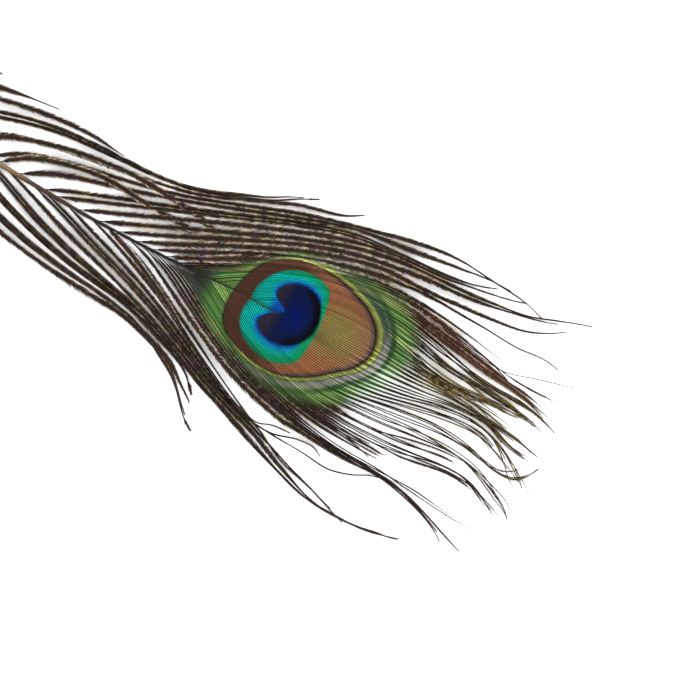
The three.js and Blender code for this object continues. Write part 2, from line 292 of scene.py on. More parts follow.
def smooth_step(low, high, value):
    share = np.clip((value - low) / (high - low), 0, 1)
    return share * share * (3 - 2 * share)


def mix(first, second, share):
    return first + (second - first) * share


def directions(line):
    """The direction of a line at each of its points."""
    along = np.gradient(line, axis=0)
    return along / np.linalg.norm(along, axis=1)[:, None]


def swing(walked, lengths, luck, start):
    """A sine along a barb, whose length and start are the barb's own."""
    shortest, longer = lengths
    return np.sin(walked / (shortest + longer * luck) + FULL_TURN * start)


def even_line(points, step=STEP):
    """A smooth line through the points, with a point at every step of its length."""
    given = np.array(points, float)
    given = np.vstack([2 * given[0] - given[1], given, 2 * given[-1] - given[-2]])
    fine = []
    share = np.linspace(0, 1, SPLINE_PARTS, endpoint=False)[:, None]
    for p0, p1, p2, p3 in zip(given, given[1:], given[2:], given[3:]):
        t0 = 0.0
        t1 = t0 + np.linalg.norm(p1 - p0) ** 0.5
        t2 = t1 + np.linalg.norm(p2 - p1) ** 0.5
        t3 = t2 + np.linalg.norm(p3 - p2) ** 0.5
        t = t1 + (t2 - t1) * share
        a1 = (t1 - t) / (t1 - t0) * p0 + (t - t0) / (t1 - t0) * p1
        a2 = (t2 - t) / (t2 - t1) * p1 + (t - t1) / (t2 - t1) * p2
        a3 = (t3 - t) / (t3 - t2) * p2 + (t - t2) / (t3 - t2) * p3
        b1 = (t2 - t) / (t2 - t0) * a1 + (t - t0) / (t2 - t0) * a2
        b2 = (t3 - t) / (t3 - t1) * a2 + (t - t1) / (t3 - t1) * a3
        fine.append((t2 - t) / (t2 - t1) * b1 + (t - t1) / (t2 - t1) * b2)
    fine = np.vstack([*fine, given[-2]])
    walked = np.concatenate([[0], np.cumsum(np.linalg.norm(np.diff(fine, axis=0), axis=1))])
    stops = np.arange(0, walked[-1], step)
    return np.column_stack([np.interp(stops, walked, fine[:, axis]) for axis in range(2)])


def nearest_gap(line, other):
    """How far each point of one line is from another line."""
    apart = line[:, None, :] - other[None, :, :]
    return np.sqrt((apart**2).sum(axis=2)).min(axis=1)


class Lock:
    """A few neighbouring barbs, and the line down their middle."""

    def __init__(self, node, points, eye):
        self.node = node
        self.line = even_line(points)
        self.eye = eye
        self.left = "left" in node
        self.blunt = node in BLUNT_LOCKS
        self.dense = node in DENSE_LOCKS
        self.fringe_from = PARTS_SOONER.get(node, FRINGE_FROM)

    def in_fringe(self, x, length=PARTING_LENGTH):
        """How far into the fringe places along the feather are, from 0 to 1."""
        return smooth_step(self.fringe_from, self.fringe_from + length, x)


def named_locks(prefix, lists, eye):
    return [Lock(f"{prefix}_{i + 1:02d}", points, eye) for i, points in enumerate(lists)]


LOCKS = (
    named_locks("loose_barbs_left", LOOSE_LEFT, False)
    + named_locks("eye_barbs_left", EYE_LEFT, True)
    + named_locks("eye_barbs_right", EYE_RIGHT, True)
    + named_locks("loose_barbs_right", LOOSE_RIGHT, False)
)


class Barb:
    """One barb: its line in plan, the lock it belongs to, and its own chances."""

    def __init__(self, lock, line, full=None):
        self.lock = lock
        self.line = line
        self.stray = full is not None
        self.full = full
        chances = rng.random(8)
        self.wave_luck, self.tone, self.ripple_luck, self.ripple_start = chances[:4]
        self.short_luck, self.bare_luck, self.reach_luck, self.astray_luck = chances[4:]

    def walked(self):
        """How far along the barb each of its points is."""
        return np.arange(len(self.line)) * STEP

    def to_tip(self):
        return len(self.line) * STEP - self.walked()

    def shares(self):
        return np.linspace(0, 1, len(self.line))


def wander(barb, reach):
    """Moves a barb a little to either side, more towards its tip."""
    along = directions(barb.line)
    aside = np.column_stack([-along[:, 1], along[:, 0]])
    wave = swing(barb.walked(), WAVE, barb.wave_luck, barb.tone)
    ripple = swing(barb.walked(), RIPPLE, barb.ripple_luck, barb.ripple_start)
    drift = (wave + RIPPLE_SHARE * ripple) * reach * smooth_step(*WANDERS, barb.shares())
    barb.line = barb.line + aside * drift[:, None]


def barbs_between(lock, after):
    """How many barbs there are from the middle of one lock to the middle of the next."""
    apart = float(np.linalg.norm(after.line[0] - lock.line[0]))
    middle = (lock.line[0, 0] + after.line[0, 0]) / 2
    by_root = apart / float(np.interp(middle, *ROOT_PITCH))
    if not (lock.eye and after.eye):
        return by_root
    near = lock.line[lock.line[:, 0] < FRINGE_FROM]
    in_vane = float(np.percentile(nearest_gap(near, after.line), 90)) / EYE_PITCH
    return min(by_root, in_vane) if middle < EYE_PITCH_FROM else in_vane


def offset_line(lock, neighbour, share, clump_share):
    """The lock's line moved part of the way to its neighbour's, less so towards the tips."""
    last = np.minimum(np.arange(len(lock.line)), len(neighbour.line) - 1)
    towards = neighbour.line[last] - lock.line
    if lock.eye:
        fringe = lock.in_fringe(lock.line[:, 0])
        share = mix(share, clump_share, (0.0 if lock.dense else GATHERED) * fringe)
        clump = SPREAD_CLUMP if lock.blunt or lock.dense else EYE_CLUMP
        held = mix(1.0, clump, smooth_step(*EYE_CLINGS, lock.line[:, 0]))
        widest = mix(WIDEST_VANE_GAP, WIDEST_FRINGE_GAP, fringe)
    else:
        along = np.linspace(0, 1, len(lock.line))
        held = mix(1.0, LOOSE_CLUMP, smooth_step(*LOOSE_CLINGS, along))
        widest = WIDEST_LOOSE_GAP
    apart = np.linalg.norm(towards, axis=1)
    towards *= (np.minimum(apart, widest) / np.maximum(apart, 1e-6) * held * share)[:, None]
    return lock.line + towards


def grow_barbs():
    """Every barb, in order round the feather, spread evenly over the locks."""
    counts = [barbs_between(lock, after) for lock, after in zip(LOCKS, LOCKS[1:])]
    counted = np.concatenate([[0], np.cumsum(counts)])
    places = np.interp(np.arange(int(counted[-1])) + 0.5, counted, np.arange(len(LOCKS)))
    barbs = []
    for i, lock in enumerate(LOCKS):
        shares = [place - i for place in places if -0.5 <= place - i < 0.5]
        fewest = FEWEST.get(lock.node, 1)
        if len(shares) < fewest:
            shares = [(n + 0.5) / fewest - 0.5 for n in range(fewest)]
        clumps = max(1, round(len(shares) / BARBS_IN_CLUMP))
        for n, share in enumerate(shares):
            clump_share = (n * clumps // len(shares) + 0.5) / clumps - 0.5
            way = -1 if share < 0 else 1
            neighbour = LOCKS[min(max(i + way, 0), len(LOCKS) - 1)]
            barb = Barb(lock, offset_line(lock, neighbour, abs(share), clump_share * way))
            shorter = SHORTER if lock.blunt or not lock.eye else EYE_SHORTER
            keep = 1 - shorter * barb.short_luck**2
            barb.line = barb.line[: int(len(barb.line) * keep)]
            reach = ASTRAY if barb.astray_luck > ASTRAY_LUCK else WANDER
            wander(barb, reach if len(shares) > 1 else ALONE)
            barbs.append(barb)
    return barbs


def measure_gaps(barbs):
    """How far the next barb is, on the left and on the right of each point."""
    for i, barb in enumerate(barbs):
        open_gap = np.full(len(barb.line), OPEN_GAP)
        barb.gap_left = nearest_gap(barb.line, barbs[i - 1].line) if i else open_gap
        last = i == len(barbs) - 1
        barb.gap_right = open_gap if last else nearest_gap(barb.line, barbs[i + 1].line)


def lay_out(barb):
    """The barb in space: its points, and the directions along, aside and up."""
    share = barb.shares()
    arch = ARCH_HEIGHT * (1 if barb.lock.eye else 0.8 + 0.8 * barb.bare_luck)
    height = mix(ROOT_HEIGHT, TIP_HEIGHT, share) + arch * np.sin(np.pi * share**ARCH_BEND)
    height += smooth_step(*LIFTS, share) * LIFT_HEIGHT * barb.reach_luck * (1 - share)
    if barb.stray:
        height += STRAY_HEIGHT * np.sin(np.pi * share)
    barb.points = np.column_stack([barb.line, height])
    barb.along = directions(barb.points)
    aside = np.cross([0, 0, 1], barb.along)
    aside /= np.linalg.norm(aside, axis=1)[:, None]
    up = np.cross(barb.along, aside)
    barb.free = smooth_step(*FREE_GAP, np.minimum(barb.gap_left, barb.gap_right))
    roll = swing(barb.walked(), ROLL, barb.astray_luck, barb.wave_luck)
    roll = (barb.free * ROLL_ANGLE * roll)[:, None]
    barb.aside = aside * np.cos(roll) + up * np.sin(roll)
    barb.up = up * np.cos(roll) - aside * np.sin(roll)
    barb.share = share


# ---------------------------------------------------------------- barb geometry, in mm

LOOSE_RAMUS_RADIUS = 0.16
EYE_RAMUS_RADIUS = 0.115
# Near its tip a barb's barbules lie closed along its stem, which thickens it.
LOOSE_TIP_RADIUS = 0.24
EYE_TIP_RADIUS = 0.155
THICKENS = (0.5, 0.8)
TAPERS = (0.92, 1)
RAMUS_STRIDE = 2
# Where the vane is closed the stem spreads to its neighbours, up to this gap, and its edges
# drop a little.
STRIP_GAP = 1.3
STRIP_DROP = 0.14
FLOOR_GAP = 0.01

BARBULE_PITCH = 0.17
BARBULE_WIDTH = 0.27
FIRST_BARBULE = 2.0
SHORTEST_BARBULE = 0.05
# How far barbules reach: at most, on the outside of the closed vane, as a share of the gap in
# the vane, and as a share of a wide gap with a slit left in it.
LOOSE_REACH = 1.25
OUTER_REACH = 0.55
MEETING_SHARE = 0.5
SLIT_SHARE = 0.4
# In the closed vane the barbules of two barbs that are far apart cross each other.
CROSSED_SHARE = 0.8
# The angle between a barbule and its barb, in degrees, in the closed vane and on a free barb.
VANE_ANGLE = 46.0
FREE_ANGLE = 28.0

# How far along a stray barb its barbules end.
STRAY_BARE = (0.3, 0.5)
# How much of their barbules barbs keep in the fringe.
KEPT_BLUNT = 0.55
KEPT_LEFT = 0.6
KEPT_RIGHT = 0.46
# Where the roots are outside the eye's green, as distances back from the eye's middle.
OUTSIDE_LEFT = (28, 35)
OUTSIDE_RIGHT = (22, 30)
# Where along the feather the loose herl closes and opens again, on the left and on the right.
CLOSES = {True: (-48, -18), False: (-36, -10)}
OPENS = {True: (22, 40), False: (10, 28)}
# The outermost herl closes sooner: how far out it is, and where along the feather.
OUTERMOST = (14.5, 17.5)
OUTERMOST_CLOSES = (-62, -44)

BARB_VALUES = ("Share", "Glint", "Barb", "Depth", "Pale", "Ridge")


class Heap:
    """Vertices, faces and values per vertex that will be one mesh."""

    def __init__(self):
        self.points = []
        self.faces = []
        self.values = {name.lower(): [] for name in BARB_VALUES}
        self.count = 0

    def add(self, points, faces, **values):
        self.points.append(points)
        self.faces.extend((faces + self.count).tolist())
        for name, parts in self.values.items():
            parts.append(np.broadcast_to(values[name], len(points)))
        self.count += len(points)


def outside_eye(barb):
    """How far the barb's root is outside the eye's green, where its foot is bare and pale."""
    outside = OUTSIDE_LEFT if barb.lock.left else OUTSIDE_RIGHT
    return smooth_step(*outside, -barb.line[0, 0])


def fullness(barb):
    """How much of its barbules a barb has left, from 1 in the vane to 0 at its bare tip."""
    lock = barb.lock
    walked = barb.walked()
    if barb.stray:
        full = np.maximum(barb.full, 1 - smooth_step(*STRAY_BARE, barb.share))
        return full * smooth_step(0, 4, barb.to_tip())
    if lock.blunt:
        kept = mix(1.0, KEPT_BLUNT, smooth_step(lock.fringe_from, 33, barb.line[:, 0]))
        return kept * smooth_step(0, 5, barb.to_tip())
    if lock.eye:
        kept = KEPT_LEFT if lock.left else KEPT_RIGHT
        if lock.dense:
            kept = 1.0
        full = mix(1.0, kept, lock.in_fringe(barb.line[:, 0], THINNING_LENGTH))
        full -= outside_eye(barb) * 0.7 * (1 - smooth_step(1, 5, walked))
        full *= smooth_step(0, 7, barb.to_tip())
        thin_from = THIN_FROM.get(lock.node, EYE_THIN_FROM)
        return full * (1 - 0.75 * smooth_step(thin_from, thin_from + 0.2, barb.share))
    from_root = mix(0.35, 1.0, smooth_step(1, 4 if lock.left else 9, walked))
    bare_from = 0.52 + 0.3 * barb.bare_luck if lock.left else 0.44 + 0.2 * barb.bare_luck
    bare_from = THIN_FROM.get(lock.node, bare_from)
    return from_root * (1 - 0.84 * smooth_step(bare_from, bare_from + 0.3, barb.share))


def parting(barb, side):
    """How far the barbules leave a slit to the next barb, from 0 where the vane is closed to 1."""
    lock = barb.lock
    x, y = barb.line.T
    if side in SLIT_SIDES.get(lock.node, ()):
        return np.ones(len(x))
    if lock.eye:
        near_root = outside_eye(barb) * (1 - smooth_step(6, 18, barb.walked()))
        return np.maximum(near_root, 0 if lock.dense else lock.in_fringe(x))
    outermost = smooth_step(*OUTERMOST, np.abs(y)) * smooth_step(*OUTERMOST_CLOSES, x)
    closing = np.maximum(smooth_step(*CLOSES[lock.left], x), outermost)
    return np.maximum(1 - closing, smooth_step(*OPENS[lock.left], x))


def paleness(barb):
    """The barbules near the roots are thin and pale; on the right their ends stay pale further."""
    strong = outside_eye(barb) if barb.lock.eye else 1.0
    near_root = 0.75 * (1 - smooth_step(2, 7, barb.walked()))
    if barb.lock.left:
        return near_root * strong
    pale_to = 20 if barb.lock.eye else 32
    further = 0.6 * (1 - smooth_step(10, pale_to, barb.walked()))
    return np.maximum(near_root, further) * strong


def ramus_radius(barb, share):
    at_root = EYE_RAMUS_RADIUS if barb.lock.eye else LOOSE_RAMUS_RADIUS
    at_tip = EYE_TIP_RADIUS if barb.lock.eye else LOOSE_TIP_RADIUS
    thick = mix(at_root, at_tip, smooth_step(*THICKENS, share))
    return thick * (1 - 0.5 * smooth_step(*TAPERS, share))


def add_ramus(heap, barb):
    """The barb's own stem, which spreads into a low ridged strip where the vane is closed."""
    rows = slice(None, None, RAMUS_STRIDE)
    points, aside, up = barb.points[rows], barb.aside[rows], barb.up[rows]
    share = barb.share[rows]
    radius = ramus_radius(barb, share)
    closed = (1 - barb.free[rows]) * smooth_step(0.3, 0.9, fullness(barb)[rows])
    left = np.maximum(radius, closed * np.minimum(barb.gap_left[rows], STRIP_GAP) / 2)
    right = np.maximum(radius, closed * np.minimum(barb.gap_right[rows], STRIP_GAP) / 2)
    drop = STRIP_DROP * closed
    # each corner of the section: how far aside, how far up, its depth and its ridge value
    section = [
        (0 * radius, radius, 0.0, 1.0),
        (radius * 0.8, radius * 0.3, 0.0, 0.8),
        (left, -drop, 0.7, 0.0),
        (0 * radius, -radius * 0.9 - drop * 0.4, 0.0, 1.0),
        (-right, -drop, 0.7, 0.0),
        (-radius * 0.8, radius * 0.3, 0.0, 0.8),
    ]
    rings = [points + aside * s[:, None] + up * u[:, None] for s, u, _, _ in section]
    cloud = np.stack(rings, axis=1).reshape(-1, 3)
    cloud[:, 2] = np.maximum(cloud[:, 2], FLOOR_GAP)
    sides = len(section)
    count = len(points)
    ring = np.arange(count - 1)[:, None] * sides
    corner = np.arange(sides)[None, :]
    after = (corner + 1) % sides
    faces = [ring + corner, ring + sides + corner, ring + sides + after, ring + after]
    start = heap.count
    heap.add(
        cloud,
        np.stack(faces, axis=2).reshape(-1, 4),
        share=np.repeat(share, sides),
        glint=0.3,
        barb=barb.tone,
        depth=np.tile([depth for _, _, depth, _ in section], count),
        pale=np.repeat(paleness(barb)[rows], sides),
        ridge=np.tile([ridge for _, _, _, ridge in section], count),
    )
    heap.faces.append([start + i for i in range(sides)])
    heap.faces.append([start + (count - 1) * sides + i for i in reversed(range(sides))])


# A barbule is a thin blade with two corners at its foot, one on its back and one at its tip.
BLADE_FACES = np.array([[0, 1, 3], [1, 2, 3], [0, 3, 2], [0, 2, 1]])
BLADE_DEPTHS = [0.0, 0.0, 0.4, 1.0]
BLADE_BACK = 0.3


def add_barbules(heap, barb, side):
    """The row of fine blades down one side of a barb."""
    gap, other_gap = barb.gap_left, barb.gap_right
    if side < 0:
        gap, other_gap = other_gap, gap
    stops = np.arange(FIRST_BARBULE, (len(barb.line) - 1) * STEP, BARBULE_PITCH)
    stops = stops + rng.uniform(-0.3, 0.3, len(stops)) * BARBULE_PITCH
    row = stops / STEP

    def at(values):
        low = np.clip(row.astype(int), 0, len(values) - 2)
        part = row - low
        if values.ndim == 2:
            part = part[:, None]
        return values[low] * (1 - part) + values[low + 1] * part

    full = at(fullness(barb))
    radius = ramus_radius(barb, at(barb.share))
    gap_here = at(gap)
    free = smooth_step(0.95, 1.6, gap_here)
    loose = LOOSE_REACH * (0.8 + 0.35 * barb.reach_luck)
    loose = mix(OUTER_REACH, loose, smooth_step(0.9, 1.8, at(other_gap)))
    wide = smooth_step(0.9, 1.5, gap_here)
    share = mix(MEETING_SHARE, CROSSED_SHARE, wide)
    share = mix(share, SLIT_SHARE, wide * at(parting(barb, side)))
    reach = np.minimum(gap_here * share + 0.05, loose) * full - radius * 0.8
    reach = reach * (1 + rng.uniform(-0.2, 0.12, len(stops)) * mix(0.5, 1.0, free))
    keep = reach > SHORTEST_BARBULE
    turn = mix(VANE_ANGLE, FREE_ANGLE, free) + rng.normal(0, 1, len(stops)) * mix(2.0, 5.0, free)
    angle = np.radians(np.clip(turn, 16, 60))
    length = reach / np.sin(angle)
    points, along, aside, up = at(barb.points), at(barb.along), at(barb.aside), at(barb.up)
    along /= np.linalg.norm(along, axis=1)[:, None]
    way = along * np.cos(angle)[:, None] + aside * (side * np.sin(angle))[:, None]
    across = aside * (0.45 * free)[:, None] - along * side
    base = points + up * (radius * 0.1)[:, None] + aside * (side * radius * 0.8)[:, None]
    width = BARBULE_WIDTH * mix(1.0, 1.15, free) * np.clip(full + 0.3, 0, 1)
    droop = mix(0.12, 0.05, free) + rng.normal(0, 1, len(stops)) * mix(0.015, 0.08, free)
    back = 0.05 + 0.05 * rng.random(len(stops))
    corners = [
        base - across * (width / 2)[:, None],
        base + across * (width / 2)[:, None],
        base + way * (length * BLADE_BACK)[:, None] + up * back[:, None],
        base + way * length[:, None] - up * droop[:, None],
    ]
    cloud = np.stack(corners, axis=1)[keep]
    count = len(cloud)
    if not count:
        return
    cloud = cloud.reshape(-1, 3)
    cloud[:, 2] = np.maximum(cloud[:, 2], FLOOR_GAP)
    faces = np.arange(count)[:, None, None] * 4 + BLADE_FACES[None, :, :]
    heap.add(
        cloud,
        faces.reshape(-1, 3),
        share=np.repeat(at(barb.share)[keep], 4),
        glint=np.repeat(rng.random(count), 4),
        barb=barb.tone,
        depth=np.tile(BLADE_DEPTHS, count),
        pale=np.repeat(at(paleness(barb))[keep], 4),
        ridge=0.0,
    )


def mesh_from(heap, name):
    points = np.vstack(heap.points) * MM
    mesh = bpy.data.meshes.new(name)
    mesh.from_pydata(points.tolist(), [], heap.faces)
    for value, parts in heap.values.items():
        layer = mesh.attributes.new(value, "FLOAT", "POINT")
        layer.data.foreach_set("value", np.concatenate(parts).astype(np.float32))
    piece = bpy.data.objects.new(name, mesh)
    bpy.context.scene.collection.objects.link(piece)
    return piece


# ---------------------------------------------------------------- node helpers


def from_srgb(red, green, blue):
    def linear(value):
        value /= 255
        return value / 12.92 if value <= 0.04045 else ((value + 0.055) / 1.055) ** 2.4

    return (linear(red), linear(green), linear(blue), 1.0)


class Nodes:
    """A node tree that is written as plain calls."""

    def __init__(self, tree):
        self.tree = tree

    def new(self, kind, **settings):
        node = self.tree.nodes.new(kind)
        for name, value in settings.items():
            setattr(node, name, value)
        return node

    def feed(self, socket, value):
        if isinstance(value, bpy.types.NodeSocket):
            self.tree.links.new(value, socket)
        else:
            socket.default_value = value

    def math(self, operation, first, second=0.0, third=0.0, clamp=False):
        node = self.new("ShaderNodeMath", operation=operation, use_clamp=clamp)
        for socket, value in zip(node.inputs, (first, second, third)):
            self.feed(socket, value)
        return node.outputs[0]

    def add(self, first, *others):
        for other in others:
            first = self.math("ADD", first, other)
        return first

    def less(self, first, second):
        return self.math("SUBTRACT", first, second)

    def times(self, first, *others):
        for other in others:
            first = self.math("MULTIPLY", first, other)
        return first

    def step(self, value, low, high):
        """0 below low and 1 above high, smooth between. High may be the lower one."""
        node = self.new("ShaderNodeMapRange", interpolation_type="SMOOTHSTEP")
        turned = not isinstance(low, bpy.types.NodeSocket) and low > high
        if turned:
            low, high = high, low
        self.feed(node.inputs["Value"], value)
        self.feed(node.inputs["From Min"], low)
        self.feed(node.inputs["From Max"], high)
        node.inputs["To Min"].default_value = 1.0 if turned else 0.0
        node.inputs["To Max"].default_value = 0.0 if turned else 1.0
        return node.outputs["Result"]

    def blend(self, share, first, second):
        node = self.new("ShaderNodeMix", data_type="RGBA")
        self.feed(node.inputs["Factor"], share)
        self.feed(node.inputs[6], first)
        self.feed(node.inputs[7], second)
        return node.outputs[2]

    def blend_value(self, share, first, second):
        node = self.new("ShaderNodeMix", data_type="FLOAT")
        self.feed(node.inputs["Factor"], share)
        self.feed(node.inputs[2], first)
        self.feed(node.inputs[3], second)
        return node.outputs[0]

    def ramp(self, value, stops):
        node = self.new("ShaderNodeValToRGB")
        elements = node.color_ramp.elements
        while len(elements) > 1:
            elements.remove(elements[-1])
        for i, (place, colour) in enumerate(stops):
            element = elements[0] if i == 0 else elements.new(place)
            element.position = place
            element.color = colour
        self.feed(node.inputs[0], value)
        return node.outputs[0]

    def join(self, x, y, z=0.0):
        node = self.new("ShaderNodeCombineXYZ")
        for socket, value in zip(node.inputs, (x, y, z)):
            self.feed(socket, value)
        return node.outputs[0]

    def split(self, vector):
        node = self.new("ShaderNodeSeparateXYZ")
        self.feed(node.inputs[0], vector)
        return node.outputs

    def noise(self, vector, scale, detail=2.0):
        node = self.new("ShaderNodeTexNoise")
        self.feed(node.inputs["Vector"], vector)
        node.inputs["Scale"].default_value = scale
        node.inputs["Detail"].default_value = detail
        return node.outputs["Fac"]

    def value_of(self, name):
        return self.new("ShaderNodeAttribute", attribute_name=name).outputs["Fac"]

    def group(self, group, **values):
        node = self.new("ShaderNodeGroup", node_tree=group)
        for name, value in values.items():
            self.feed(node.inputs[name], value)
        return node.outputs


def new_group(name, inputs, outputs):
    """A node group, as its nodes, its inputs and its outputs."""
    group = bpy.data.node_groups.new(name, "ShaderNodeTree")
    for label, kind in inputs:
        group.interface.new_socket(label, in_out="INPUT", socket_type=f"NodeSocket{kind}")
    for label, kind in outputs:
        group.interface.new_socket(label, in_out="OUTPUT", socket_type=f"NodeSocket{kind}")
    nodes = Nodes(group)
    return nodes, nodes.new("NodeGroupInput").outputs, nodes.new("NodeGroupOutput").inputs


def new_material(name):
    """A material, as itself, its nodes, its shader's inputs and the point on the piece in mm."""
    material = bpy.data.materials.new(name)
    material.use_nodes = True
    nodes = Nodes(material.node_tree)
    shader = material.node_tree.nodes["Principled BSDF"]
    point = nodes.new("ShaderNodeMapping")
    nodes.feed(point.inputs["Vector"], nodes.new("ShaderNodeTexCoord").outputs["Object"])
    point.inputs["Scale"].default_value = (1 / MM, 1 / MM, 1 / MM)
    return material, nodes, shader.inputs, point.outputs[0]


# ---------------------------------------------------------------- the eye's outlines, in mm

HEART_CENTRE = (2.5, 1.3)
PATCH_CENTRE = (4.0, 1.0)
NOTCH_CENTRE = (-1.0, 1.7)
GOLD_SPOT_CENTRE = (14.0, 3.0)

# Each outline is its radius at an angle, in degrees from the direction of the tip.
HEART = [
    (0, 6.9), (18, 7.1), (38, 7.5), (60, 8.3), (92, 9.0), (128, 9.0), (148, 8.6), (157, 7.5),
    (163, 4.6), (171, 3.0), (188, 3.6), (203, 7.4), (212, 9.6), (226, 9.9), (247, 9.2),
    (276, 8.2), (314, 7.2),
]
DISC = [
    (6, 7.6), (25, 7.9), (41, 9.0), (56, 10.8), (68, 12.3), (78, 12.6), (107, 12.8), (150, 12.9),
    (173, 12.9), (183, 12.7), (190, 13.0), (201, 14.0), (221, 14.7), (244, 14.2), (271, 13.5),
    (290, 12.8), (302, 12.2), (312, 10.8), (328, 8.9), (346, 7.9),
]
PATCH = [
    (0, 21.0), (10, 21.5), (20, 21.2), (36, 19.4), (57, 16.8), (80, 15.6), (97, 15.5),
    (127, 16.8), (150, 17.9), (179, 18.8), (199, 19.9), (208, 20.1), (223, 18.7), (245, 16.6),
    (270, 15.3), (299, 14.9), (318, 15.4), (337, 16.9), (348, 19.0),
]
# The rim's width outside the patch, and how far the green reaches outside the rim.
RIM_WIDTH = [
    (0, 2.0), (20, 2.2), (57, 1.6), (97, 0.9), (127, 0.5), (160, 0.25), (200, 0.2), (225, 0.5),
    (270, 0.9), (320, 1.3), (340, 1.6),
]
GREEN_REACH = [
    (0, 10.0), (25, 11.0), (50, 6.5), (80, 2.8), (110, 1.4), (135, 1.4), (150, 2.0), (160, 3.0),
    (168, 4.6), (174, 7.0), (180, 11.0), (188, 12.0), (193, 10.5), (208, 5.5), (222, 3.6),
    (240, 2.6), (265, 3.2), (295, 5.5), (330, 9.0),
]
# How strong the grey ring outside the rim is.
GREY_RING = [
    (0, 1.0), (30, 0.9), (55, 0.6), (80, 0.2), (110, 0.0), (230, 0.0), (260, 0.25), (300, 0.5),
    (335, 0.95),
]
# How strong the green is outside the rim.
GREEN_STRENGTH = [
    (0, 1.0), (35, 0.85), (60, 0.6), (90, 0.45), (120, 0.6), (155, 0.9), (180, 1.0), (205, 1.0),
    (222, 0.7), (245, 0.55), (275, 0.6), (305, 0.8), (335, 1.0),
]
# A curve's values run from 0 to 1, so lengths are given to it as shares of these.
WIDEST_OUTLINE = 32.0
WIDEST_RIM = 4.0
FURTHEST_GREEN = 16.0


def radius_curve(nodes, turn, outline, top=WIDEST_OUTLINE):
    """An outline's radius at an angle in turns, as a smooth curve that closes on itself."""
    pairs = [(degrees / 360, size / top) for degrees, size in outline]
    places, sizes = zip(*pairs)
    seam = float(np.interp(0, [places[-1] - 1, places[0]], [sizes[-1], sizes[0]]))
    inner = [pair for pair in pairs if pair[0] > 0]
    node = nodes.new("ShaderNodeFloatCurve")
    curve = node.mapping.curves[0]
    curve.points[0].location = (0.0, seam)
    curve.points[1].location = (1.0, seam)
    for place, size in inner:
        curve.points.new(place, size)
    node.mapping.update()
    nodes.feed(node.inputs["Value"], turn)
    return nodes.times(node.outputs[0], top)


def make_polar_group():
    """A point in mm as its angle, in turns, and its distance from a centre."""
    nodes, given, out = new_group(
        "around_a_centre",
        [("Point", "Vector"), ("Centre X", "Float"), ("Centre Y", "Float")],
        [("Turn", "Float"), ("Distance", "Float")],
    )
    x, y, _ = nodes.split(given["Point"])
    x = nodes.less(x, given["Centre X"])
    y = nodes.less(y, given["Centre Y"])
    angle = nodes.math("ARCTAN2", y, x)
    turn = nodes.math("WRAP", nodes.math("DIVIDE", angle, math.tau), 1.0, 0.0)
    nodes.feed(out["Turn"], turn)
    squares = nodes.add(nodes.times(x, x), nodes.times(y, y))
    nodes.feed(out["Distance"], nodes.math("SQRT", squares))
    return nodes.tree


polar_group = make_polar_group()


def around(nodes, point, centre):
    """The turn and the distance of a point around a centre."""
    x, y = centre
    return nodes.group(polar_group, **{"Point": point, "Centre X": x, "Centre Y": y})


# ---------------------------------------------------------------- colours

NAVY = from_srgb(14, 26, 66)
NAVY_BRIGHT = from_srgb(2, 26, 96)
LOBE_BROWN = from_srgb(44, 40, 54)
HEART_BLACK = from_srgb(5, 6, 16)
EYE_BLUE = from_srgb(0, 106, 212)
EYE_AZURE = from_srgb(0, 186, 226)
EYE_TEAL = from_srgb(0, 204, 188)
EYE_JADE = from_srgb(8, 186, 128)
EYE_LEAF = from_srgb(18, 116, 76)
BRONZE = from_srgb(194, 130, 88)
OLIVE_GOLD = from_srgb(170, 154, 86)
ROSE_BRONZE = from_srgb(176, 134, 98)
RUST = from_srgb(190, 130, 92)
DARK_BROWN_RING = from_srgb(92, 60, 46)
PLUM = from_srgb(116, 88, 96)
RIM_LINE = from_srgb(36, 32, 20)
YELLOW_GREEN = from_srgb(192, 197, 114)
RIM_OLIVE = from_srgb(138, 140, 72)
GREY_LILAC = from_srgb(172, 156, 162)
SLATE = from_srgb(66, 80, 84)
RING_GREEN = from_srgb(34, 58, 40)
LEAF_GREEN = from_srgb(122, 180, 94)
GOLD_GREEN = from_srgb(180, 196, 116)
TEAL_GREY = from_srgb(66, 92, 74)
DEEP_GREEN = from_srgb(50, 84, 44)
HERL_BLACK = from_srgb(14, 11, 9)
HERL_DARK = from_srgb(30, 22, 18)
HERL_BROWN = from_srgb(76, 55, 42)
# painted glint on the herl
HERL_COPPER_GLINT = from_srgb(124, 96, 68)
# painted highlights on the ends of the herl's barbules
HERL_GOLD_HIGHLIGHT = from_srgb(214, 198, 144)
HERL_CREAM_HIGHLIGHT = from_srgb(236, 220, 200)
HERL_RED = from_srgb(126, 72, 50)
HERL_PLUM = from_srgb(74, 48, 56)
HERL_GREEN = from_srgb(52, 58, 32)
PALE_GREY = from_srgb(214, 216, 212)
TIP_BROWN = from_srgb(64, 47, 37)
TIP_GOLD = from_srgb(150, 136, 82)


